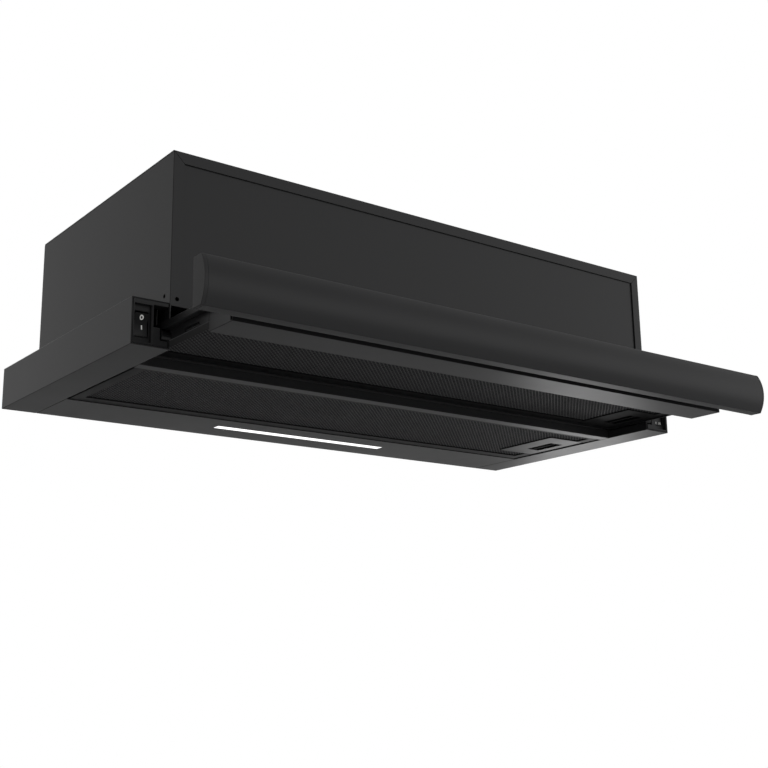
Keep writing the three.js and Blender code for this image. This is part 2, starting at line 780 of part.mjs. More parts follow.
// Expanded metal: a sheet with staggered rows of diamond openings.
function filterMesh(f) {
  const x = f.meshHalf - fit;
  const front = filterFrontBorder + fit;
  const back = f.meshBack - fit;
  const low = filterSkin;
  const high = filterSkin + meshThickness;
  const plain = block(-x, x, front, back, low, high);
  const sheetBody = cut(plain, block(...platePocket(f, fit), low - 1, high + 1));
  const pitchX = diamondWidth + diamondWeb;
  const pitchY = diamondDepth + diamondWeb;
  const columns = Math.floor((2 * x - diamondWeb) / pitchX);
  const rows = Math.floor((back - front - diamondWeb) / pitchY);
  const startX = -(columns - 1) * pitchX / 2;
  const startY = (front + back) / 2 - (rows - 1) * pitchY / 2;
  const keep = platePocket(f, diamondWeb);
  const holes = [];
  for (let row = 0; row < rows; row += 1) {
    for (let column = 0; column < columns; column += 1) {
      const cx = startX + column * pitchX;
      const cy = startY + row * pitchY;
      const nearPlate = cx + diamondWidth / 2 > keep[0]
        && cy + diamondDepth / 2 > keep[2] && cy - diamondDepth / 2 < keep[3];
      if (!nearPlate) {
        holes.push(alongZ([
          [cx - diamondWidth / 2, cy], [cx, cy - diamondDepth / 2],
          [cx + diamondWidth / 2, cy], [cx, cy + diamondDepth / 2],
        ], low - 1, high + 1));
      }
    }
  }
  return cut(sheetBody, joined(...holes));
}


function latchPlate(f) {
  const [left, right, front, back] = platePocket(f, 0);
  const pocketEnd = right - pocketRight;
  const pocket = block(
    pocketEnd - pocketWidth, pocketEnd, f.plateMiddle - pocketDepth / 2, f.plateMiddle + pocketDepth / 2,
    -1, latchPlateThickness - pocketFloor,
  );
  const channel = block(
    pocketEnd - 1, right + 1, f.noseFront - slide, f.noseRear + slide,
    noseBottom - slide, noseBottom + noseThickness + slide,
  );
  return cut(block(left, right, front, back, 0, latchPlateThickness), pocket, channel);
}

function latch(f) {
  const end = f.plateRight - pocketRight - fit;
  const start = end - sliderWidth;
  const front = f.plateMiddle - pocketDepth / 2 + slide;
  const back = f.plateMiddle + pocketDepth / 2 - slide;
  const top = latchPlateThickness - pocketFloor - fit;
  const pad = block(start, end, front, back, noseBottom, top);
  const grip = block(start, start + sliderGrip, front, back, gripBottom, top);
  const nose = block(
    end - 1, filterHalf + f.noseReach, f.noseFront, f.noseRear, noseBottom, noseBottom + noseThickness,
  );
  return joined(pad, grip, nose);
}

function filter(name, f, parent) {
  piece(`${name}_frame`, filterFrame(f), filterCoat, parent);
  piece(`${name}_mesh`, filterMesh(f), meshCoat, parent);
  piece(`${name}_latch_plate`, latchPlate(f), blackPlastic, parent);
  piece(`${name}_latch`, latch(f), blackPlastic, parent);
}

const rearGap = openingHalf - filterHalf;
const drawerGap = channelHalf - sheet - filterHalf;
filter(
  'rear_filter',
  filterLayout(
    rearFilterDepth, filterThickness, rearPlateFront, rearPlateBack, rearTabHeight,
    rearGap + sheet + fit, rearGap - noseGap,
  ),
  group(hood, 0, rearFilterFront, rearFilterBottom),
);
filter(
  'drawer_filter',
  filterLayout(
    drawerFilterDepth, drawerFilterThickness, drawerPlateFront, drawerPlateBack, drawerTabHeight,
    drawerGap + sheet + fit, drawerGap - fit,
  ),
  group(drawer, 0, drawerFilterFront, drawerFilterBottom),
);

// ---------------------------------------------------------------- lamp
const lamp = group(hood, 0, lampMiddle, 0);

function lampLens() {
  const x = lampLength / 2;
  const y = lampWidth / 2;
  const strip = block(-x, x, -y, y, fit, sheet + fit + lensThickness);
  const low = sheet + fit;
  const farX = x + lensFlange;
  const farY = y + lensFlange;
  return joined(strip, block(-farX, farX, -farY, farY, low, low + lensThickness));
}

function lampHousing() {
  const x = lampLength / 2 + lensFlange + fit;
  const y = lampWidth / 2 + lensFlange + fit;
  const low = sheet + fit;
  const w = lampHousingWall;
  const outside = block(-x - w, x + w, -y - w, y + w, low, low + lampHousingHeight);
  const inside = block(-x, x, -y, y, low - 1, low + lampHousingHeight - w);
  const seat = lensFlange + fit;
  const clamp = block(-x, x, -y, -y + seat, low + lensThickness + fit, low + lampHousingHeight - w / 2);
  return joined(cut(outside, inside), clamp);
}

function lampDriver() {
  const low = sheet + fit;
  const y = driverWidth / 2;
  return block(driverStart, driverStart + driverLength, -y, y, low, low + driverHeight);
}

piece('lamp_lens', lampLens(), lens, lamp);
piece('lamp_housing', lampHousing(), lampShell, lamp);
piece('lamp_driver', lampDriver(), lampShell, lamp);

// ---------------------------------------------------------------- fan
// The fan's own frame has its axis along X at the origin.
const fan = group(hood, 0, fanY, fanZ);
const neckTop = boxTop - sheet - fit - fanZ;

// Spiral from the tongue round the front and underside to the outlet, which rises at the rear.
function scrollOutline(wall, top) {
  const steps = 30;
  const points = [];
  for (let i = 0; i <= steps; i += 1) {
    const share = i / steps;
    const angle = THREE.MathUtils.degToRad(scrollTongue + (360 - scrollTongue) * share);
    const radius = scrollStart + (scrollEnd - scrollStart) * share + wall;
    points.push([radius * Math.cos(angle), radius * Math.sin(angle)]);
  }
  points.push([scrollEnd + wall, top]);
  points.push([points[0][0] - wall, top]);
  return points;
}

function fanScroll() {
  const half = scrollInner / 2;
  const outside = alongX(scrollOutline(scrollWall, neckTop), -half - scrollWall, half + scrollWall);
  const neckFront = tongueY - scrollWall;
  const flange = block(
    -half - neckFlange, half + neckFlange, neckFront - neckFlange, scrollEnd + neckFlange,
    neckTop - scrollWall, neckTop,
  );
  const inside = alongX(scrollOutline(0, neckTop + 1), -half, half);
  const far = half + scrollWall + 1;
  const inlets = bar(axisX, inletRadius, [-far, 0, 0], 2 * far, 40);
  return cut(joined(outside, flange), inside, inlets);
}

function fanWheel() {
  const half = wheelLength / 2;
  const ring = (x) => cut(
    bar(axisX, wheelRadius, [x, 0, 0], ringWidth, 40),
    bar(axisX, wheelRadius - bladeDepth, [x - 1, 0, 0], ringWidth + 2, 40),
  );
  const disc = bar(axisX, wheelRadius - fit, [-discThickness / 2, 0, 0], discThickness, 40);
  const hub = bar(axisX, hubRadius, [-hubLength / 2, 0, 0], hubLength, 24);
  const bore = bar(axisX, shaftRadius + fit, [-hubLength, 0, 0], 2 * hubLength, 16);
  const blades = [];
  for (let i = 0; i < bladeCount; i += 1) {
    const geometry = new THREE.BoxGeometry(wheelLength - ringWidth, bladeThickness, bladeDepth - 1);
    geometry.translate(0, 0, wheelRadius - bladeDepth / 2);
    geometry.rotateX((2 * Math.PI * i) / bladeCount);
    blades.push(solid(geometry));
  }
  return cut(joined(disc, hub, ring(-half), ring(half - ringWidth), ...blades), bore);
}

function motorShaft() {
  return bar(axisX, shaftRadius, [-hubLength / 2 - 1, 0, 0], shaftLength, 16);
}

function motor() {
  const body = bar(axisX, motorRadius, [motorStart + hubLength / 2, 0, 0], motorLength, 32);
  const boss = bar(axisX, motorRadius / 2, [motorStart + hubLength / 2 + motorLength, 0, 0], motorBoss, 24);
  const bore = bar(axisX, shaftRadius + fit, [0, 0, 0], shaftLength, 16);
  return cut(joined(body, boss), bore);
}

function motorBracket() {
  const x = scrollInner / 2 + scrollWall + fit;
  const start = [x, 0, 0];
  const arms = [];
  for (let i = 0; i < 3; i += 1) {
    const length = bracketReach - motorRadius - 1;
    const geometry = new THREE.BoxGeometry(bracketThickness, bracketArm, length);
    geometry.translate(x + bracketThickness / 2, 0, motorRadius + 1 + length / 2);
    geometry.rotateX((2 * Math.PI * (i + 0.5)) / 3);
    arms.push(solid(geometry));
  }
  const ring = bar(axisX, motorRadius + bracketRing, start, bracketThickness, 32);
  const bore = bar(axisX, motorRadius + fit, [x - 1, 0, 0], 2 * bracketThickness, 32);
  return cut(joined(ring, ...arms), bore);
}

piece('fan_scroll', fanScroll(), scrollPlastic, fan);
piece('fan_wheel', fanWheel(), wheelPlastic, fan);
piece('motor_shaft', motorShaft(), screwSteel, fan);
piece('motor', motor(), motorSteel, fan);
piece('motor_bracket', motorBracket(), screwSteel, fan);

// ---------------------------------------------------------------- outlet collar and flaps
// The outlet's own frame has Z = 0 on the box's top.
const outlet = group(hood, 0, outletY, boxTop);

function outletCollar() {
  const base = fit;
  const tube = bar(axisZ, outletRadius + collarWall, [0, 0, base], collarHeight, 48);
  const flange = bar(axisZ, outletRadius + collarFlange, [0, 0, base], collarFlangeThickness, 48);
  const bore = bar(axisZ, outletRadius, [0, 0, base - 1], collarHeight + 2, 48);
  const ledge = cut(
    bar(axisZ, outletRadius + 1, [0, 0, flapHeight - flapThickness / 2 - fit - 3], 3, 48),
    bar(axisZ, outletRadius - flapLedge, [0, 0, base], collarHeight, 48),
  );
  const out = outletRadius + 2 * collarWall;
  const rodHole = bar(axisX, flapRod + fit, [-out, 0, flapHeight], 2 * out, 16);
  return cut(joined(cut(joined(tube, flange), bore), ledge), rodHole);
}

function flap(side) {
  const disc = bar(axisZ, outletRadius - flapPlay, [0, 0, -flapThickness / 2], flapThickness, 48);
  const near = side * (flapRod + fit);
  const far = side * outletRadius;
  return disc.intersect(block(-outletRadius, outletRadius, near, far, -flapThickness, flapThickness));
}

piece('outlet_collar', outletCollar(), collarPlastic, outlet);
const flapAxis = group(outlet, 0, 0, flapHeight);
const rodHalf = outletRadius + collarWall;
piece('flap_rod', bar(axisX, flapRod, [-rodHalf, 0, 0], 2 * rodHalf, 16), screwSteel, flapAxis);
piece('flap_front', flap(-1), collarPlastic, flapAxis);
piece('flap_rear', flap(1), collarPlastic, flapAxis);

// ---------------------------------------------------------------- supply
function terminalBox() {
  const top = boxTop - sheet - fit;
  const halfX = terminalLength / 2;
  const halfY = terminalWidth / 2;
  const body = block(
    terminalX - halfX, terminalX + halfX, terminalY - halfY, terminalY + halfY, top - terminalHeight, top,
  );
  const entry = [terminalX, terminalY, top - glandDepth - fit];
  return cut(body, bar(axisZ, glandRadius + fit, entry, 2 * glandDepth));
}

function cordGland() {
  const bottom = boxTop - sheet - fit - glandDepth;
  const length = boxTop + glandTop - bottom;
  const stem = bar(axisZ, glandRadius, [terminalX, terminalY, bottom], length, 24);
  const nut = bar(axisZ, glandNut, [terminalX, terminalY, boxTop + fit], glandNutHeight, 6);
  const bore = bar(axisZ, glandBore, [terminalX, terminalY, bottom - 1], length + 2, 16);
  return cut(joined(stem, nut), bore);
}

function capacitor() {
  const top = boxTop - sheet - fit;
  return bar(axisZ, capacitorRadius, [capacitorX, capacitorY, top - capacitorLength], capacitorLength, 24);
}

piece('terminal_box', terminalBox(), blackPlastic, hood);
piece('cord_gland', cordGland(), blackPlastic, hood);
piece('capacitor', capacitor(), capacitorShell, hood);

export default hood;
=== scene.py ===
from math import cos, pi, radians, sin

import bmesh
import bpy
from mathutils import Matrix, Vector


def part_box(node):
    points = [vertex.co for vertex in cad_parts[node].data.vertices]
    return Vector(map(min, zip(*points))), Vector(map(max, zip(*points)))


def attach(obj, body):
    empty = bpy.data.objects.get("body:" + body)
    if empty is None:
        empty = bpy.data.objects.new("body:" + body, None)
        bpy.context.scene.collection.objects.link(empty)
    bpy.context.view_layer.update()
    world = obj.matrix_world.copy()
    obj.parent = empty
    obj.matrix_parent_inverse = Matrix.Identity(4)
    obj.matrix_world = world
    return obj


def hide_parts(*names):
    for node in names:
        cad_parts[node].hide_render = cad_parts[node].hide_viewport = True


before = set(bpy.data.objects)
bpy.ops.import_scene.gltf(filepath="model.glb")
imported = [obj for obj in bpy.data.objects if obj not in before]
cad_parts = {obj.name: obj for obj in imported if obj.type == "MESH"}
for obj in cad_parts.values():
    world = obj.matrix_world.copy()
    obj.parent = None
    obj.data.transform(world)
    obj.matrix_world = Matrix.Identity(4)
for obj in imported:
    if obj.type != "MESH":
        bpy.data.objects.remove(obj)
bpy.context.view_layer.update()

# ------------------------------------------------------------------ camera
# A camera with a 58 mm lens stands low before the hood's left end and looks up along its underside, which
# is how such a hood is seen from the worktop.
LENS, SENSOR_WIDTH = 58.29, 36
camera_at = Vector((-0.68038, -0.88368, -0.25177))
yaw, pitch, roll = radians(37.22), radians(13.955), radians(-0.831)
forward = Vector((sin(yaw) * cos(pitch), cos(yaw) * cos(pitch), sin(pitch)))
sideways = forward.cross(Vector((0, 0, 1))).normalized()
upright = sideways.cross(forward)
right = cos(roll) * sideways + sin(roll) * upright
up = cos(roll) * upright - sin(roll) * sideways
turned = Matrix((right, up, -forward)).transposed()
bpy.ops.object.camera_add(location=camera_at, rotation=turned.to_euler())
bpy.context.object.data.lens = LENS
bpy.context.object.data.sensor_width = SENSOR_WIDTH
bpy.context.scene.camera = bpy.context.object
bpy.context.scene.view_settings.view_transform = "Standard"

# ------------------------------------------------------------------ studio
# A pale floor well below the hood, greyer behind it, a plain white surround that dims overhead and to the
# left, and two soft lamps: a large one behind on the left for the box's side, and one behind on the right.
FLOOR_SIZE, FLOOR_HEIGHT = 24, -1.5
FLOOR_GLOW = 0.62
LAMP_AIM = Vector((0, 0, 0.08))


def linear(hex_colour):
    """The linear RGBA of an sRGB colour written as #rrggbb."""
    shares = [int(hex_colour[i:i + 2], 16) / 255 for i in (1, 3, 5)]
    return (*[s / 12.92 if s <= 0.04045 else ((s + 0.055) / 1.055) ** 2.4 for s in shares], 1)


def add_node(tree, kind, values=None, links=None, **settings):
    """Adds a shader node, sets its settings and socket values, and links its inputs."""
    made = tree.nodes.new(kind)
    for setting, value in settings.items():
        setattr(made, setting, value)
    for socket, value in (values or {}).items():
        made.inputs[socket].default_value = value
    for socket, source in (links or {}).items():
        tree.links.new(source, made.inputs[socket])
    return made


# Light from the surround fades overhead, and what a coat mirrors of it fades a little more. Both fade
# leftward too. The camera sees it plain white.
surround = bpy.data.worlds.new("soft white surround")
surround.use_nodes = True
bpy.context.scene.world = surround
tree = surround.node_tree
tree.nodes.clear()
ray = add_node(tree, "ShaderNodeLightPath")
aim = add_node(tree, "ShaderNodeTexCoord")
heading = add_node(tree, "ShaderNodeSeparateXYZ", links={0: aim.outputs["Generated"]})
overhead = add_node(
    tree, "ShaderNodeMapRange", {"From Min": 0.2, "From Max": 0.7, "To Min": 0.95, "To Max": 0.5},
    {"Value": heading.outputs["Z"]}, interpolation_type="SMOOTHSTEP")
mirrored = add_node(
    tree, "ShaderNodeMapRange", {"From Min": 0.16, "From Max": 0.66, "To Min": 1.0, "To Max": 0.48},
    {"Value": heading.outputs["Z"]}, interpolation_type="SMOOTHSTEP")
upward = add_node(
    tree, "ShaderNodeMix",
    links={"Factor": ray.outputs["Is Glossy Ray"], "A": overhead.outputs[0], "B": mirrored.outputs[0]})
leftward = add_node(
    tree, "ShaderNodeMapRange", {"From Min": -0.06, "From Max": -0.34, "To Min": 1.0, "To Max": 0.4},
    {"Value": heading.outputs["X"]}, interpolation_type="SMOOTHSTEP")
around = add_node(
    tree, "ShaderNodeMath", links={0: upward.outputs[0], 1: leftward.outputs[0]}, operation="MULTIPLY")
seen = add_node(
    tree, "ShaderNodeMath",
    links={0: ray.outputs["Is Camera Ray"], 1: ray.outputs["Is Transmission Ray"]}, operation="MAXIMUM")
strength = add_node(
    tree, "ShaderNodeMix", {"B": 1.0}, {"Factor": seen.outputs[0], "A": around.outputs[0]})
backdrop = add_node(
    tree, "ShaderNodeBackground", {"Color": (1, 1, 1, 1)}, {"Strength": strength.outputs[0]})
add_node(tree, "ShaderNodeOutputWorld", links={"Surface": backdrop.outputs[0]})

# Matt paint, even and pale to the camera. What the hood mirrors of it is white in front and grey behind,
# a little paler on the right.
bpy.ops.mesh.primitive_plane_add(size=FLOOR_SIZE, location=(0, 0, FLOOR_HEIGHT))
floor = bpy.context.object
floor.name = "studio_floor"
floor_paint = bpy.data.materials.new("matt floor paint")
floor_paint.use_nodes = True
tree = floor_paint.node_tree
tree.nodes.clear()
ray = add_node(tree, "ShaderNodeLightPath")
floor_place = add_node(tree, "ShaderNodeTexCoord")
spot = add_node(tree, "ShaderNodeSeparateXYZ", links={0: floor_place.outputs["Object"]})
bearing = add_node(
    tree, "ShaderNodeMath", links={0: spot.outputs["X"], 1: spot.outputs["Y"]}, operation="DIVIDE")
rightward = add_node(
    tree, "ShaderNodeMapRange", {"From Min": 0.4, "From Max": 0.75}, {"Value": bearing.outputs[0]},
    interpolation_type="SMOOTHSTEP")
frontward = add_node(
    tree, "ShaderNodeMapRange", {"From Min": 0.8, "From Max": -0.8}, {"Value": spot.outputs["Y"]},
    interpolation_type="SMOOTHSTEP")
behind = add_node(
    tree, "ShaderNodeMix", {"A": linear("#868686"), "B": linear("#9c9c9c")},
    {"Factor": rightward.outputs[0]}, data_type="RGBA")
tone = add_node(
    tree, "ShaderNodeMix", {"B": linear("#ffffff")},
    {"Factor": frontward.outputs[0], "A": behind.outputs["Result"]}, data_type="RGBA")
paint = add_node(tree, "ShaderNodeBsdfDiffuse", links={"Color": tone.outputs["Result"]})
pale = add_node(tree, "ShaderNodeBsdfDiffuse", {"Color": linear("#f4f4f4")})
glow = add_node(tree, "ShaderNodeEmission", {"Strength": 1.0})
lit = add_node(tree, "ShaderNodeMixShader", {0: FLOOR_GLOW}, {1: pale.outputs[0], 2: glow.outputs[0]})
shown = add_node(
    tree, "ShaderNodeMixShader",
    links={0: ray.outputs["Is Camera Ray"], 1: paint.outputs[0], 2: lit.outputs[0]})
add_node(tree, "ShaderNodeOutputMaterial", links={"Surface": shown.outputs[0]})
floor.data.materials.append(floor_paint)

for lamp_name, lamp_at, width, power in (
        ("lamp_behind_left", (-3.2, 2.6, 1.5), 3.0, 6),
        ("lamp_right", (3.30, 2.90, -0.85), 0.45, 1.6)):
    direction = Vector(lamp_at) - LAMP_AIM
    bpy.ops.object.light_add(
        type="AREA", location=lamp_at, rotation=direction.to_track_quat("Z", "Y").to_euler())
    lamp = bpy.context.object
    lamp.name = lamp_name
    lamp.data.size = width
    lamp.data.energy = power

# ------------------------------------------------------------------ canopy
# Flat body under the cabinet: a folded channel of 1 mm steel along each side, the rear channel that is also
# the back wall, and the crossbar between drawer and rear filter. Spot-welded, then powder coated as one.
MM = 0.001
CORNER, FLAT = radians(24), radians(0.6)
# A face that reaches no further than this from an edge is the sheet's own thickness.
CUT_FACE = 1.15 * MM
FOLD_RADIUS, CROSSBAR_FOLD, CUT_EDGE = 0.8 * MM, 0.3 * MM, 0.16 * MM
CAD_MERGE, LAST_MERGE = 0.004 * MM, 0.003 * MM
CLOUDS_PER_METRE, TONE_WANDER = 9.0, 0.07


def finish_material(name, colour, roughness, grain, relief, ior=1.38, metallic=0.0, uneven=0.04):
    """A finish with a grain of a size and relief, and a roughness and tone that wander a little over the
    piece. No roughness crosses 0.274, where the render's denoiser leaves thin contour lines."""
    made = bpy.data.materials.new(name)
    made.use_nodes = True
    tree = made.node_tree
    shader = tree.nodes["Principled BSDF"]
    place = add_node(tree, "ShaderNodeTexCoord").outputs["Object"]
    fine = add_node(
        tree, "ShaderNodeTexNoise", {"Scale": 1 / grain, "Detail": 2.0, "Roughness": 0.5}, {"Vector": place})
    bump = add_node(
        tree, "ShaderNodeBump", {"Strength": 1.0, "Distance": relief}, {"Height": fine.outputs[0]})
    cloudy = add_node(
        tree, "ShaderNodeTexNoise", {"Scale": CLOUDS_PER_METRE, "Detail": 3.0, "Roughness": 0.6},
        {"Vector": place})
    spread = add_node(
        tree, "ShaderNodeMapRange",
        {"From Min": 0.3, "From Max": 0.7, "To Min": roughness - uneven, "To Max": roughness + uneven},
        {"Value": cloudy.outputs[0]})
    darker, paler = [
        (*[share * part for part in linear(colour)[:3]], 1) for share in (1 - TONE_WANDER, 1 + TONE_WANDER)]
    tone = add_node(
        tree, "ShaderNodeMix", {"A": darker, "B": paler}, {"Factor": cloudy.outputs[0]}, data_type="RGBA")
    tree.links.new(tone.outputs["Result"], shader.inputs["Base Color"])
    tree.links.new(spread.outputs[0], shader.inputs["Roughness"])
    tree.links.new(bump.outputs[0], shader.inputs["Normal"])
    shader.inputs["IOR"].default_value = ior
    shader.inputs["Metallic"].default_value = metallic
    return made


def copy_of(node):
    """A CAD node's mesh as a piece of its own, its triangles merged into whole faces, open in edit mode."""
    bpy.ops.object.select_all(action="DESELECT")
    piece = bpy.data.objects.new(f"{node}_finished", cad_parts[node].data.copy())
    bpy.context.scene.collection.objects.link(piece)
    piece.data.materials.clear()
    bpy.context.view_layer.objects.active = piece
    piece.select_set(True)
    bpy.ops.mesh.customdata_custom_splitnormals_clear()
    bpy.ops.object.mode_set(mode="EDIT")
    bpy.ops.mesh.select_all(action="SELECT")
    bpy.ops.mesh.remove_doubles(threshold=CAD_MERGE)
    bpy.ops.mesh.dissolve_limited(angle_limit=FLAT)
    return piece


def reach_from(edge, face):
    """How far a face reaches away from one of its edges."""
    start = edge.verts[0].co
    along = (edge.verts[1].co - start).normalized()
    return max(((v.co - start) - (v.co - start).dot(along) * along).length for v in face.verts)


def is_corner(edge):
    return edge.calc_face_angle(0) > CORNER


def is_outer(edge):
    return is_corner(edge) and edge.is_convex


def is_fold(edge):
    """An edge between two wide faces of bent sheet, on the outside of the bend."""
    return is_outer(edge) and min(reach_from(edge, f) for f in edge.link_faces) > CUT_FACE


def is_cut(edge):
    """An edge of the sheet's own thickness, as the shears left it."""
    return is_outer(edge) and min(reach_from(edge, f) for f in edge.link_faces) <= CUT_FACE


def select_edges(piece, wanted):
    """Selects the edges, in edit mode, for which wanted(edge) is true, and counts them."""
    mesh = bmesh.from_edit_mesh(piece.data)
    bpy.ops.mesh.select_mode(type="EDGE")
    count = 0
    for edge in mesh.edges:
        edge.select = len(edge.link_faces) == 2 and bool(wanted(edge))
        count += edge.select
    mesh.select_flush_mode()
    bmesh.update_edit_mesh(piece.data)
    return count


def ease(piece, width, segments, wanted):
    """Rounds the edges for which wanted(edge) is true, less where two roundings would overlap."""
    if select_edges(piece, wanted):
        bpy.ops.mesh.bevel(offset=width, segments=segments, profile=0.5, clamp_overlap=True)


def close_up(piece, body, material, slot, *nodes, smooth=32):
    """Leaves edit mode, shades the piece smooth up to an angle in degrees, gives it its material and lets it
    stand for its CAD nodes."""
    bpy.ops.mesh.select_all(action="SELECT")
    bpy.ops.mesh.remove_doubles(threshold=LAST_MERGE)
    bpy.ops.mesh.normals_make_consistent(inside=False)
    if bmesh.from_edit_mesh(piece.data).calc_volume(signed=True) < 0:
        bpy.ops.mesh.flip_normals()
    bpy.ops.object.mode_set(mode="OBJECT")
    bpy.ops.object.shade_smooth_by_angle(angle=radians(smooth))
    bpy.ops.object.modifier_add(type="WEIGHTED_NORMAL")
    piece.modifiers[-1].keep_sharp = True
    bpy.ops.object.modifier_apply(modifier=piece.modifiers[-1].name)
    piece.data.materials.append(material)
    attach(piece, body)
    if nodes:
        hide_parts(*nodes)


def bent_sheet(node, body, material, slot="steel_coat", fold=FOLD_RADIUS):
    """The CAD sheet with its outer bends rounded and its cut edges eased by the coat."""
    piece = copy_of(node)
    ease(piece, fold, 3, is_fold)
    ease(piece, CUT_EDGE, 1, is_cut)
    close_up(piece, body, material, slot, node)


# Polyester powder coat, sprayed and stoved: satin black with a fine orange peel about a millimetre across,
# which softens what it mirrors.
powder_coat = finish_material(
    "polyester powder coat", "#232324", 0.3, grain=1.3 * MM, relief=0.004 * MM, uneven=0.022)
for node in ("canopy_side_left", "canopy_side_right", "canopy_rear"):
    bent_sheet(node, "housing", powder_coat)
bent_sheet("crossbar", "housing", powder_coat, fold=CROSSBAR_FOLD)

# ------------------------------------------------------------------ chimney box
# Five sheets of the same steel that hide the fan: sides with a mitred flange round the front sheet, the
# front sheet set back behind it, a top with the outlet hole, and a back. Welded at the corners and coated.
for node in ("box_side_left", "box_side_right", "box_top", "box_front", "box_back"):
    bent_sheet(node, "housing", powder_coat)

# ------------------------------------------------------------------ fascias
# Injection-moulded ABS plates that close the canopy's front ends, clipped in behind the steel. Each has a
# recess for a switch, a window for the drawer's rail and a notch for the guide shoe.


def rounded(node, body, material, slot, radius, segments=2):
    """The CAD piece with all its outer edges rounded, as a mould, a die or a lathe leaves them."""
    piece = copy_of(node)
    ease(piece, radius, segments, is_outer)
    close_up(piece, body, material, slot, node, smooth=40)
    return piece


# ABS from a spark-eroded mould: dull black that mirrors nothing sharply. The real grain is finer than half
# a millimetre and is drawn that coarse so that it shows.
moulded_abs = finish_material(
    "moulded ABS, fine spark-eroded grain", "#1d1d1e", 0.5, grain=0.5 * MM, relief=0.008 * MM)
for node in ("fascia_left", "fascia_right"):
    rounded(node, "housing", moulded_abs, "black_plastic", radius=0.25 * MM)

# ------------------------------------------------------------------ switches
# Snap-in rocker switches, glossier polyamide than the fascia. The left one is marked for off and on, the
# right one for its two speeds, each mark a white pad print on the rocker's face.
SWITCH_X = 287.5 * MM
FACE_MIDDLE = Vector((0, -67.57, 16.94)) * MM
UPPER_SLOPE, LOWER_SLOPE = radians(108.7), radians(85.4)
PRINT = 0.05 * MM
RING_CORNERS, BAR_CORNERS = 24, 4

# Polyamide from a polished mould: deep black with soft highlights along the rocker's edges.
moulded_polyamide = finish_material(
    "moulded polyamide, polished", "#121213", 0.32, grain=0.9 * MM, relief=0.003 * MM)
# Ink from a silicone pad: flat, slightly warm white with a hardly raised edge.
pad_print = finish_material("white pad print", "#f2f2ee", 0.55, grain=0.3 * MM, relief=0.002 * MM)
for node, body in (("switch_body_left", "housing"), ("switch_body_right", "housing"),
                   ("rocker_left", "lamp_rocker"), ("rocker_right", "speed_rocker")):
    rounded(node, body, moulded_polyamide, "switch_plastic", radius=0.22 * MM)


def printed_mark(name, body, x, rise, wide, high, line=None):
    """A printed mark, at a rise along the rocker's face from its middle: a bar, or a ring of a line."""
    slope = UPPER_SLOPE if rise > 0 else LOWER_SLOPE
    corners = RING_CORNERS if line else BAR_CORNERS
    bpy.ops.object.select_all(action="DESELECT")
    bpy.ops.mesh.primitive_circle_add(
        vertices=corners, radius=0.5, fill_type="NGON", rotation=(0, 0, pi / corners))
    mark = bpy.context.object
    mark.name = name
    bpy.ops.object.transform_apply(rotation=True)
    bpy.ops.object.mode_set(mode="EDIT")
    bpy.ops.mesh.select_all(action="SELECT")
    # A square drawn in a circle 1 across has sides of one over root two.
    size = 1 if line else 2 ** 0.5
    bpy.ops.transform.resize(value=(wide * size, high * size, 1))
    if line:
        bpy.ops.mesh.inset(thickness=line, use_boundary=True)
        bpy.ops.mesh.delete(type="FACE")
        bpy.ops.mesh.select_all(action="SELECT")
    bpy.ops.mesh.extrude_region_move(TRANSFORM_OT_translate={"value": (0, 0, PRINT)})
    bpy.ops.mesh.select_all(action="SELECT")
    bpy.ops.mesh.normals_make_consistent(inside=False)
    bpy.ops.object.mode_set(mode="OBJECT")
    mark.rotation_euler = (slope, 0, 0)
    mark.location = Vector((x, 0, 0)) + FACE_MIDDLE + rise * Vector((0, cos(slope), sin(slope)))
    bpy.ops.object.transform_apply(location=True, rotation=True, scale=True)
    mark.data.materials.append(pad_print)
    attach(mark, body)


printed_mark(
    "mark_off", "lamp_rocker", x=-SWITCH_X, rise=5.6 * MM, wide=3.2 * MM, high=4.0 * MM, line=0.85 * MM)
printed_mark("mark_on", "lamp_rocker", x=0.9 * MM - SWITCH_X, rise=-2.0 * MM, wide=0.9 * MM, high=3.4 * MM)
for speed, beside, wide in (("one", -3.2, 0.9), ("two_a", 1.3, 0.8), ("two_b", 2.9, 0.8)):
    printed_mark(
        f"mark_speed_{speed}", "speed_rocker", x=SWITCH_X + beside * MM, rise=-7.1 * MM,
        wide=wide * MM, high=2.2 * MM)

# ------------------------------------------------------------------ slides
# Roll-formed steel rails in the canopy and on the drawer, black zinc with a film of grease, on carriers of
# folded sheet. A polyamide shoe with one cross-head screw guides the drawer at each rail mouth.
CROSS_WIDTH, CROSS_LENGTH, CROSS_BLOCK = 0.7 * MM, 2.6 * MM, 1.1 * MM
# The nose's size, then how far its middle lies off the carrier's face, ahead of its front and up.
NOSE = Vector((0.7, 16.8, 13.8)) * MM
NOSE_STEP, NOSE_AHEAD, NOSE_HEIGHT = 0.2 * MM, 8.2 * MM, 27.6 * MM

# Black passivation over zinc: a thin dark skin, neither gloss nor matt, with the rolls' faint texture.
black_zinc = finish_material(
    "black-passivated zinc on rolled steel", "#1b1b1c", 0.42, grain=1.0 * MM, relief=0.003 * MM)
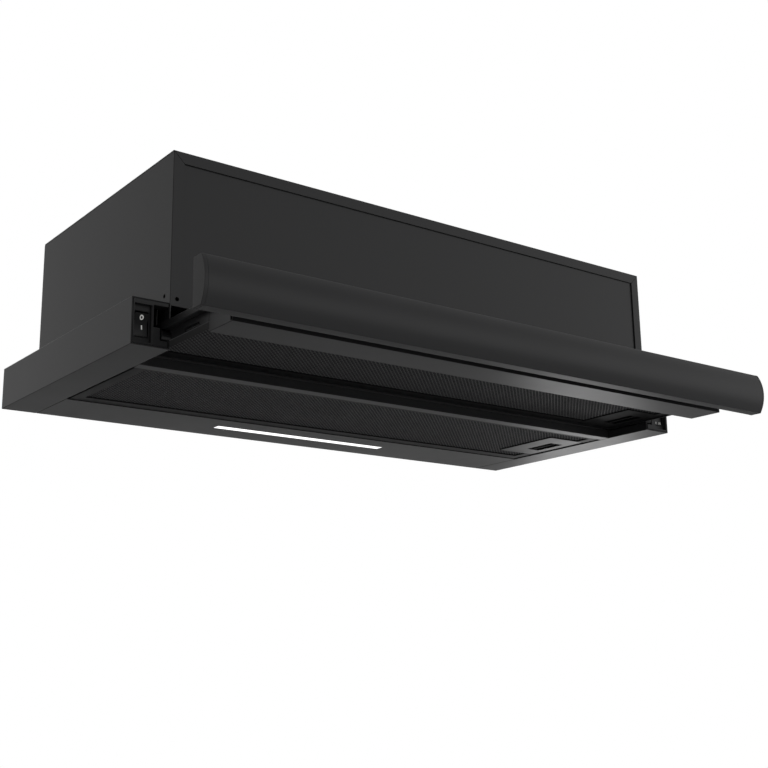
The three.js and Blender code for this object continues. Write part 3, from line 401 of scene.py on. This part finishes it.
# Bright zinc on turned or pressed steel: a pale cool metal, mirror-like but a little cloudy.
bright_zinc = finish_material(
    "zinc-plated screw steel", "#9fa3a6", 0.32, grain=0.8 * MM, relief=0.002 * MM, ior=1.5, metallic=1.0)
for side in ("left", "right"):
    bent_sheet(f"rail_carrier_{side}", "housing", black_zinc, "rail_steel")
    bent_sheet(f"fixed_rail_{side}", "housing", black_zinc, "rail_steel")
    rounded(f"drawer_rail_{side}", "drawer", black_zinc, "rail_steel", radius=0.5 * MM, segments=3)
    rounded(f"guide_shoe_{side}", "housing", moulded_polyamide, "black_plastic", radius=0.3 * MM)
    # The carrier's nose, bent up to the fascia's window, shows there as a thin upright edge.
    carrier_low, carrier_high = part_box(f"rail_carrier_{side}")
    inner = carrier_high.x + NOSE_STEP if side == "left" else carrier_low.x - NOSE_STEP
    bpy.ops.object.select_all(action="DESELECT")
    bpy.ops.mesh.primitive_cube_add(
        size=1, location=(inner, carrier_low.y - NOSE_AHEAD, NOSE_HEIGHT), scale=NOSE)
    nose = bpy.context.object
    nose.name = f"carrier_nose_{side}"
    bpy.ops.object.transform_apply(location=True, scale=True)
    bpy.ops.object.mode_set(mode="EDIT")
    ease(nose, 0.2 * MM, 2, is_corner)
    close_up(nose, "housing", black_zinc, "rail_steel")


def sink(piece, place, size, turn=0):
    """Sinks a block of a size into a piece at a place, turned about X."""
    bpy.ops.object.select_all(action="DESELECT")
    bpy.ops.mesh.primitive_cube_add(size=1, location=place, rotation=(turn, 0, 0))
    block = bpy.context.object
    block.scale = size
    bpy.ops.object.select_all(action="DESELECT")
    bpy.context.view_layer.objects.active = piece
    cut = piece.modifiers.new("sunk", "BOOLEAN")
    cut.operation, cut.object, cut.solver = "DIFFERENCE", block, "EXACT"
    bpy.ops.object.modifier_apply(modifier=cut.name)
    bpy.data.objects.remove(block)


def sink_cross(screw, middle, axis):
    """Sinks half of a cross-shaped block into a screw's head, which faces along an axis."""
    for size in ([CROSS_LENGTH, CROSS_WIDTH], [CROSS_WIDTH, CROSS_LENGTH]):
        size.insert(axis, CROSS_BLOCK)
        sink(screw, middle, size)


def cross_head(node, body, axis, outward):
    """The CAD screw with its edges eased and a cross in its head, which faces outward along an axis."""
    screw = rounded(node, body, bright_zinc, "screw_steel", radius=0.25 * MM)
    low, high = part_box(node)
    middle = (low + high) / 2
    middle[axis] = high[axis] if outward > 0 else low[axis]
    sink_cross(screw, middle, axis)


cross_head("guide_screw_left", "housing", axis=0, outward=-1)
cross_head("guide_screw_right", "housing", axis=0, outward=1)

# ------------------------------------------------------------------ drawer
# Folded channel behind the front panel, two side walls and a rear bar of the same coated steel, which carry
# the front filter. The panel is screwed on from inside the channel.
for node in ("drawer_channel", "drawer_side_left", "drawer_side_right", "drawer_rear_bar"):
    bent_sheet(node, "drawer", powder_coat)
for number in (1, 2, 3, 4):
    cross_head(f"panel_screw_{number}", "drawer", axis=1, outward=1)

# ------------------------------------------------------------------ front panel
# Hollow aluminium extrusion with a convex front, sprayed with satin black lacquer after fine brushing, and
# closed at each end by a moulded cap on a spigot.
PROFILE_LENGTH = 500 * MM

# Lacquer over brushed metal: the brushing is filled, so the curve carries one broad soft highlight.
lacquer = finish_material(
    "satin lacquer on extruded aluminium", "#242425", 0.36, grain=0.8 * MM, relief=0.002 * MM)
# ABS from a lightly etched mould: as dark as the lacquer, but its highlight is wider and fainter.
cap_abs = finish_material("moulded ABS, satin", "#222223", 0.44, grain=0.6 * MM, relief=0.004 * MM)
panel = copy_of("front_panel")
ease(panel, 0.5 * MM, 3, lambda edge: is_outer(edge) and edge.calc_length() > PROFILE_LENGTH)
close_up(panel, "drawer", lacquer, "panel_coat", "front_panel")
for side in ("left", "right"):
    rounded(f"end_cap_{side}", "drawer", cap_abs, "black_plastic", radius=0.35 * MM)

# ------------------------------------------------------------------ grease filters
# Each filter is a folded aluminium frame round layers of expanded metal, dipped black, with a moulded plate
# for its sliding latch. The outer sheet's diamonds are about 4 mm across, its strands 0.6 mm.
DIAMOND = (4.0 * MM, 4.0 * MM)
INNER_LAYERS = [((5.6, 3.6), 1.0), ((7.1, 4.7), 1.8), ((4.9, 3.1), 2.6)]
OUTER_RISE = 0.1 * MM
STRAND, INNER_STRAND = 0.62 * MM, 1.4 * MM
# Shares of a strand's width: how much rings grow to lap at their tips, how far the inner edge turns up, and
# the metal's thickness. The last is the share of a ring that must clear the latch plate's edge.
TIP_OVERLAP, EDGE_TURN, THICKNESS = 0.8, 0.12, 0.6
PLATE_MARGIN = 0.6

# Lacquer from a dip tank: black and rather dull, as it runs thin over the frame's folds.
dipped_black = finish_material(
    "dipped black lacquer on aluminium", "#101011", 0.4, grain=0.9 * MM, relief=0.003 * MM, ior=1.22)
# The same lacquer on slit strands, coloured grey over each whole strand: partly the bare slit edges, partly
# painted highlight for the light those edges catch, so the outer mesh is greyer.
strand_grey_and_painted_highlight = finish_material(
    "black lacquer on expanded metal", "#4a4a4b", 0.42, grain=0.5 * MM, relief=0.002 * MM, ior=1.28)
# ABS from a polished mould: the fixed filter's plate mirrors the pale floor a little.
latch_abs = finish_material(
    "moulded ABS, polished", "#141415", 0.32, grain=0.6 * MM, relief=0.002 * MM, ior=1.33)
# The same dipped lacquer on the inner layers, coloured far darker than the outer strands as painted shade for
# the shadow between the layers: nearly no light comes back from it.
inner_layers_painted_shade = finish_material(
    "black lacquer on the inner layers", "#070707", 0.7, grain=0.5 * MM, relief=0.003 * MM, ior=1.15)
# ABS from an etched mould, flat black, for the parts that a finger slides and for the drawer filter's plate;
# its colour is darker than the other ABS as painted shade for the latches' deep pockets and the drawer's
# plate.
matt_abs_painted_shade = finish_material("moulded ABS, matt, darkened as painted shade", "#0e0e0f", 0.5, grain=0.5 * MM, relief=0.006 * MM, ior=1.2)


def expanded_metal(name, body, node, plate, diamond, strand, low, material):
    """Slit and stretched sheet over the CAD mesh's area, but for what the latch plate covers: rings that meet
    at their tips leave the diamonds between them, and the stretching turns each strand's inner edge up."""
    corner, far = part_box(node)
    counts = [round((far[i] - corner[i]) / diamond[i]) for i in (0, 1)]
    pitch = [(far[i] - corner[i]) / counts[i] for i in (0, 1)]
    metal = min(strand, STRAND)
    bpy.ops.object.select_all(action="DESELECT")
    bpy.ops.mesh.primitive_circle_add(vertices=4, radius=0.5, fill_type="NGON")
    sheet = bpy.context.object
    sheet.name = name
    bpy.ops.object.mode_set(mode="EDIT")
    bpy.ops.mesh.select_all(action="SELECT")
    bpy.ops.transform.resize(value=(pitch[0] + TIP_OVERLAP * strand, pitch[1] + TIP_OVERLAP * strand, 1))
    bpy.ops.mesh.inset(thickness=strand, use_boundary=True)
    bpy.ops.transform.translate(value=(0, 0, EDGE_TURN * metal))
    bpy.ops.mesh.delete(type="ONLY_FACE")
    bpy.ops.mesh.select_all(action="SELECT")
    bpy.ops.mesh.extrude_region_move(TRANSFORM_OT_translate={"value": (0, 0, THICKNESS * metal)})
    bpy.ops.mesh.select_all(action="SELECT")
    bpy.ops.mesh.normals_make_consistent(inside=False)
    bpy.ops.transform.translate(value=(corner.x + pitch[0] / 2, corner.y + pitch[1] / 2, low))
    bpy.ops.object.mode_set(mode="OBJECT")
    for i in (0, 1):
        row = sheet.modifiers.new("row", "ARRAY")
        row.use_relative_offset, row.use_constant_offset = False, True
        row.constant_offset_displace = [pitch[0] * (i == 0), pitch[1] * (i == 1), 0]
        row.count = counts[i]
        bpy.ops.object.modifier_apply(modifier=row.name)
    bpy.ops.object.mode_set(mode="EDIT")
    bpy.ops.mesh.select_mode(type="FACE")
    mesh = bmesh.from_edit_mesh(sheet.data)
    near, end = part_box(plate)
    for face in mesh.faces:
        spot = face.calc_center_median()
        cell = [corner[i] + (int((spot[i] - corner[i]) / pitch[i]) + 0.5) * pitch[i] for i in (0, 1)]
        face.select = all(
            near[i] + PLATE_MARGIN * pitch[i] < cell[i] < end[i] - PLATE_MARGIN * pitch[i] for i in (0, 1))
    bmesh.update_edit_mesh(sheet.data)
    bpy.ops.mesh.delete(type="FACE")
    bpy.ops.object.mode_set(mode="OBJECT")
    sheet.data.materials.append(material)
    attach(sheet, body)
    return sheet


# The drawer filter's plate and both latches take the matt ABS, whose darker colour is painted shade.
for which, plate_abs in (("rear", latch_abs), ("drawer", matt_abs_painted_shade)):
    grease_filter = f"{which}_filter"
    layers, plate = f"{grease_filter}_mesh", f"{grease_filter}_latch_plate"
    rounded(
        f"{grease_filter}_frame", grease_filter, dipped_black, "filter_coat", radius=0.5 * MM, segments=3)
    rounded(plate, grease_filter, plate_abs, "black_plastic", radius=0.4 * MM)
    rounded(f"{grease_filter}_latch", f"{which}_latch", matt_abs_painted_shade, "black_plastic", radius=0.25 * MM)
    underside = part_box(layers)[0].z
    # The outer sheet takes the strand colour that carries painted highlight.
    outer_sheet = expanded_metal(
        f"{grease_filter}_outer_sheet", grease_filter, layers, plate, DIAMOND, STRAND,
        underside + OUTER_RISE, strand_grey_and_painted_highlight)
    # The inner layers take the lacquer darkened as painted shade.
    for number, (opening, rise) in enumerate(INNER_LAYERS, 1):
        expanded_metal(
            f"{grease_filter}_inner_sheet_{number}", grease_filter, layers, plate,
            [side * MM for side in opening], INNER_STRAND, underside + rise * MM, inner_layers_painted_shade)
    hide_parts(layers)

# ------------------------------------------------------------------ lamp
# LED strip behind an opal polycarbonate diffuser, pushed up into a slot of the rear strip. Its driver, in a
# white moulded shell with a lid, is fixed beside it on the canopy.
DRIVER_LID = 4.0 * MM
SEAM_WIDTH, SEAM_DEPTH = 0.7 * MM, 0.5 * MM

# Opal polycarbonate lit from within: white, with faint clouds about 17 mm across where the diodes sit.
opal = bpy.data.materials.new("opal polycarbonate diffuser, lit")
opal.use_nodes = True
tree = opal.node_tree
shader = tree.nodes["Principled BSDF"]
lens_place = add_node(tree, "ShaderNodeTexCoord")
haze = add_node(
    tree, "ShaderNodeTexNoise", {"Scale": 60.0, "Detail": 2.0}, {"Vector": lens_place.outputs["Object"]})
brightness = add_node(
    tree, "ShaderNodeMapRange", {"To Min": 1.15, "To Max": 1.35}, {"Value": haze.outputs[0]})
tree.links.new(brightness.outputs[0], shader.inputs["Emission Strength"])
shader.inputs["Base Color"].default_value = linear("#f4f4f2")
shader.inputs["Emission Color"].default_value = linear("#ffffff")
shader.inputs["Roughness"].default_value = 0.4
rounded("lamp_lens", "housing", opal, "lens", radius=0.2 * MM)


def band_round(piece, axis, at, width, out):
    """Raises a band round a piece by out, or sinks it where out is negative, at a place along an axis."""
    plane = Vector((0, 0, 0))
    plane[axis] = 1
    for edge_at in (at - width / 2, at + width / 2):
        bpy.ops.mesh.select_all(action="SELECT")
        bpy.ops.mesh.bisect(plane_co=edge_at * plane, plane_no=plane)
    bpy.ops.mesh.select_mode(type="FACE")
    bpy.ops.mesh.select_all(action="DESELECT")
    mesh = bmesh.from_edit_mesh(piece.data)
    middle = sum((v.co for v in mesh.verts), Vector()) / len(mesh.verts)
    for face in mesh.faces:
        spot = face.calc_center_median()
        outward = (spot - middle).dot(face.normal) > 0 and abs(face.normal[axis]) < 0.5
        face.select = outward and abs(spot[axis] - at) < 0.45 * width
    bmesh.update_edit_mesh(piece.data)
    bpy.ops.mesh.extrude_region_shrink_fatten(TRANSFORM_OT_shrink_fatten={"value": out})


# Flame-retardant polycarbonate: plain white, faintly glossy, moulded with a fine mould grain.
white_shell = finish_material(
    "moulded white polycarbonate", "#e6e6e3", 0.42, grain=0.6 * MM, relief=0.003 * MM, ior=1.5)
rounded("lamp_housing", "housing", white_shell, "lamp_shell", radius=0.4 * MM)
driver = copy_of("lamp_driver")
ease(driver, 1.4 * MM, 3, is_corner)
band_round(driver, 2, at=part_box("lamp_driver")[1].z - DRIVER_LID, width=SEAM_WIDTH, out=-SEAM_DEPTH)
close_up(driver, "housing", white_shell, "lamp_shell", "lamp_driver")

# ------------------------------------------------------------------ fan
# Double-inlet centrifugal fan hung under the box's top: a moulded spiral casing, a wheel of forward-curved
# blades on the motor's shaft, and the motor held in its right inlet by a three-armed bracket of zinc steel.
FAN_AXIS = Vector((0, 23, 94)) * MM
WHEEL_RADIUS, RIM_INNER, WHEEL_HALF = 46 * MM, 38 * MM, 48 * MM
RING_WIDTH, HUB_RADIUS, HUB_HALF, BORE_RADIUS = 3 * MM, 9 * MM, 13 * MM, 3.15 * MM
# The disc that carries the blades starts inside the hub and stops short of the rim by the same lap.
DISC_HALF, DISC_LAP = 1 * MM, 1 * MM
BLADES, BLADE_WALL = 36, 0.8 * MM
BLADE_ARC, BLADE_CURVE = radians(88), Vector((0, 5.2, 43.8)) * MM
# The blades stop short of the wheel's ends and of its rim.
BLADE_GAP, RIM_GAP = 1 * MM, 0.6 * MM
MOTOR_RADIUS, MOTOR_BOSS = 34 * MM, 5 * MM
LAMINATIONS = [(36 + 2.4 * i) * MM for i in range(10)]
VENTS, VENT_CIRCLE, VENT = 8, 25 * MM, Vector((4, 5, 9)) * MM

# Talc-filled polypropylene: dark grey, duller than the ABS, with a soft mould grain.
scroll_plastic = finish_material(
    "moulded polypropylene, talc-filled", "#2b2c2d", 0.55, grain=0.7 * MM, relief=0.006 * MM, ior=1.49)
# Glass-filled polyamide: near black, its fibres leave a fine mottled sheen.
wheel_plastic = finish_material(
    "glass-filled polyamide", "#161618", 0.42, grain=0.35 * MM, relief=0.006 * MM, ior=1.53)
# Pressed steel with bright zinc: a cool grey metal whose sheen wanders a little.
motor_shell = finish_material(
    "zinc-plated pressed steel", "#9a9ea1", 0.36, grain=0.8 * MM, relief=0.003 * MM, ior=1.5, metallic=1.0)

rounded("fan_scroll", "housing", scroll_plastic, "scroll_plastic", radius=0.6 * MM)


def spun_ring(name, start, end, inner, outer):
    """A ring round the X axis from start to end: a rectangle spun once round it, its edges eased."""
    bpy.ops.object.select_all(action="DESELECT")
    bpy.ops.mesh.primitive_plane_add(size=1)
    ring = bpy.context.object
    ring.name = name
    bpy.ops.object.mode_set(mode="EDIT")
    bpy.ops.mesh.select_all(action="SELECT")
    bpy.ops.transform.resize(value=(end - start, outer - inner, 1))
    bpy.ops.mesh.delete(type="ONLY_FACE")
    bpy.ops.mesh.select_all(action="SELECT")
    bpy.ops.transform.translate(value=((start + end) / 2, (inner + outer) / 2, 0))
    bpy.ops.mesh.spin(steps=72, angle=2 * pi, center=(0, 0, 0), axis=(1, 0, 0))
    bpy.ops.mesh.select_all(action="SELECT")
    bpy.ops.mesh.remove_doubles(threshold=0.01 * MM)
    bpy.ops.mesh.normals_make_consistent(inside=False)
    ease(ring, 0.3 * MM, 1, is_corner)
    bpy.ops.object.mode_set(mode="OBJECT")
    return ring


# One blade: the edge of a plane, moved out to the rim, spun along the blade's curve and given its wall.
bpy.ops.object.select_all(action="DESELECT")
bpy.ops.mesh.primitive_plane_add(size=2 * (WHEEL_HALF - BLADE_GAP))
wheel = bpy.context.object
wheel.name = "fan_wheel_bladed"
bpy.ops.object.mode_set(mode="EDIT")
bpy.ops.mesh.select_mode(type="VERT")
bpy.ops.mesh.select_all(action="DESELECT")
mesh = bmesh.from_edit_mesh(wheel.data)
for vertex in mesh.verts:
    vertex.select = vertex.co.y > 0
bmesh.update_edit_mesh(wheel.data)
bpy.ops.mesh.delete(type="VERT")
bpy.ops.mesh.select_all(action="SELECT")
bpy.ops.transform.translate(value=(0, WHEEL_HALF - BLADE_GAP, WHEEL_RADIUS - RIM_GAP))
bpy.ops.mesh.spin(steps=6, angle=-BLADE_ARC, center=BLADE_CURVE, axis=(1, 0, 0))
bpy.ops.object.mode_set(mode="OBJECT")
blade_wall = wheel.modifiers.new("thickness", "SOLIDIFY")
blade_wall.thickness, blade_wall.offset = BLADE_WALL, 0
bpy.ops.object.modifier_apply(modifier=blade_wall.name)
bpy.ops.object.mode_set(mode="EDIT")
bpy.ops.mesh.select_all(action="SELECT")
bpy.ops.mesh.spin(
    steps=BLADES - 1, dupli=True, angle=2 * pi * (BLADES - 1) / BLADES, center=(0, 0, 0), axis=(1, 0, 0))
bpy.ops.object.mode_set(mode="OBJECT")
rings = [
    spun_ring("wheel_ring_left", -WHEEL_HALF, RING_WIDTH - WHEEL_HALF, RIM_INNER, WHEEL_RADIUS),
    spun_ring("wheel_ring_right", WHEEL_HALF - RING_WIDTH, WHEEL_HALF, RIM_INNER, WHEEL_RADIUS),
    spun_ring("wheel_disc", -DISC_HALF, DISC_HALF, HUB_RADIUS - DISC_LAP, WHEEL_RADIUS - DISC_LAP),
    spun_ring("wheel_hub", -HUB_HALF, HUB_HALF, BORE_RADIUS, HUB_RADIUS)]
bpy.ops.object.select_all(action="DESELECT")
for ring in rings + [wheel]:
    ring.select_set(True)
bpy.context.view_layer.objects.active = wheel
bpy.ops.object.join()
bpy.ops.object.mode_set(mode="EDIT")
bpy.ops.mesh.select_all(action="SELECT")
bpy.ops.transform.translate(value=FAN_AXIS)
close_up(wheel, "fan", wheel_plastic, "wheel_plastic", "fan_wheel", smooth=40)


def is_can_rim(edge):
    """An outer edge of the motor's can, at its full radius from the fan's axis."""
    return is_outer(edge) and all(
        abs((v.co - FAN_AXIS).yz.length - MOTOR_RADIUS) < 0.3 * MM for v in edge.verts)


rounded("motor_shaft", "fan", bright_zinc, "screw_steel", radius=0.3 * MM)
motor = copy_of("motor")
ease(motor, 2.4 * MM, 4, is_can_rim)
for at in LAMINATIONS:
    band_round(motor, 0, at, width=1.2 * MM, out=-0.6 * MM)
close_up(motor, "housing", motor_shell, "motor_steel", "motor")
# The vents are sunk into the end shield, which lies behind the bearing's boss.
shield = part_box("motor")[1].x - MOTOR_BOSS
for i in range(VENTS):
    turn = 2 * pi * (i + 0.5) / VENTS
    vent_at = FAN_AXIS + Vector((shield, -VENT_CIRCLE * sin(turn), VENT_CIRCLE * cos(turn)))
    sink(motor, vent_at, VENT, turn)
bent_sheet("motor_bracket", "housing", bright_zinc, "screw_steel")

# ------------------------------------------------------------------ outlet
# Round collar of moulded ABS for the duct, clipped on the box's top, with a bead that the duct's clamp sits
# behind. Two thin flaps turn on a steel rod and fall shut against a ledge when the fan stops.
BEAD_DROP, BEAD_WIDTH, BEAD_RISE = 7 * MM, 2.4 * MM, 0.8 * MM
FLAP_RIM, FLAP_SUNK = 2.5 * MM, 0.5 * MM

collar = copy_of("outlet_collar")
ease(collar, 0.5 * MM, 2, is_outer)
band_round(collar, 2, at=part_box("outlet_collar")[1].z - BEAD_DROP, width=BEAD_WIDTH, out=BEAD_RISE)
close_up(collar, "housing", moulded_abs, "collar_plastic", "outlet_collar")
rounded("flap_rod", "housing", bright_zinc, "motor_steel", radius=0.3 * MM)
for node, body in (("flap_front", "front_flap"), ("flap_rear", "back_flap")):
    flap = copy_of(node)
    bpy.ops.mesh.select_mode(type="FACE")
    bpy.ops.mesh.select_all(action="DESELECT")
    mesh = bmesh.from_edit_mesh(flap.data)
    for face in mesh.faces:
        face.select = face.normal.z > 0.9
    bmesh.update_edit_mesh(flap.data)
    bpy.ops.mesh.inset(thickness=FLAP_RIM)
    bpy.ops.mesh.extrude_region_move(TRANSFORM_OT_translate={"value": (0, 0, -FLAP_SUNK)})
    ease(flap, 0.15 * MM, 1, is_corner)
    close_up(flap, body, moulded_abs, "collar_plastic", node)

# ------------------------------------------------------------------ supply
# Moulded terminal box under the box's top with a screwed lid, the nut and stem of the gland that the supply
# lead enters by, and the motor's run capacitor in its white plastic can.
BOX_SEAM, CAN_BAND = 4 * MM, 5 * MM
LID_SCREW_IN, LID_SCREW_RADIUS, LID_SCREW_HEIGHT = 8 * MM, 3.2 * MM, 2.4 * MM
GLAND_GROOVES, GLAND_EDGE = (1.6 * MM, 3.2 * MM, 4.8 * MM), 1.8 * MM
TAB, TAB_ASIDE, TAB_DROP = Vector((6.3, 0.8, 8)) * MM, 5 * MM, 3 * MM

terminal_box = copy_of("terminal_box")
box_low, box_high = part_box("terminal_box")
box_middle = (box_low + box_high) / 2
ease(terminal_box, 1.5 * MM, 3, is_outer)
band_round(terminal_box, 2, at=box_low.z + BOX_SEAM, width=SEAM_WIDTH, out=-SEAM_DEPTH)
close_up(terminal_box, "housing", moulded_abs, "black_plastic", "terminal_box")
for number, x in ((1, box_low.x + LID_SCREW_IN), (2, box_high.x - LID_SCREW_IN)):
    bpy.ops.object.select_all(action="DESELECT")
    bpy.ops.mesh.primitive_cylinder_add(
        vertices=24, radius=LID_SCREW_RADIUS, depth=LID_SCREW_HEIGHT, location=(x, box_middle.y, box_low.z))
    screw = bpy.context.object
    screw.name = f"terminal_screw_{number}"
    bpy.ops.object.transform_apply(location=True)
    bpy.ops.object.mode_set(mode="EDIT")
    ease(screw, 0.5 * MM, 3, is_corner)
    close_up(screw, "housing", bright_zinc, "screw_steel")
    sink_cross(screw, Vector((x, box_middle.y, box_low.z - LID_SCREW_HEIGHT / 2)), axis=2)

gland = copy_of("cord_gland")
gland_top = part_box("cord_gland")[1].z
ease(gland, 0.5 * MM, 2, lambda edge: is_outer(edge) and edge.calc_length() > GLAND_EDGE)
for drop in GLAND_GROOVES:
    band_round(gland, 2, at=gland_top - drop, width=0.8 * MM, out=-0.5 * MM)
close_up(gland, "housing", moulded_polyamide, "black_plastic", "cord_gland")

capacitor = copy_of("capacitor")
can_low, can_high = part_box("capacitor")
can_middle = (can_low + can_high) / 2
ease(capacitor, 1.6 * MM, 4, is_corner)
band_round(capacitor, 2, at=can_low.z + CAN_BAND, width=1.2 * MM, out=-0.6 * MM)
close_up(capacitor, "housing", white_shell, "capacitor_shell", "capacitor")
for number, aside in ((1, -TAB_ASIDE), (2, TAB_ASIDE)):
    bpy.ops.object.select_all(action="DESELECT")
    bpy.ops.mesh.primitive_cube_add(
        size=1, location=(can_middle.x, can_middle.y + aside, can_low.z - TAB_DROP), scale=TAB)
    tab = bpy.context.object
    tab.name = f"capacitor_tab_{number}"
    bpy.ops.object.transform_apply(location=True, scale=True)
    bpy.ops.object.mode_set(mode="EDIT")
    ease(tab, 0.25 * MM, 2, is_corner)
    close_up(tab, "housing", bright_zinc, "screw_steel")
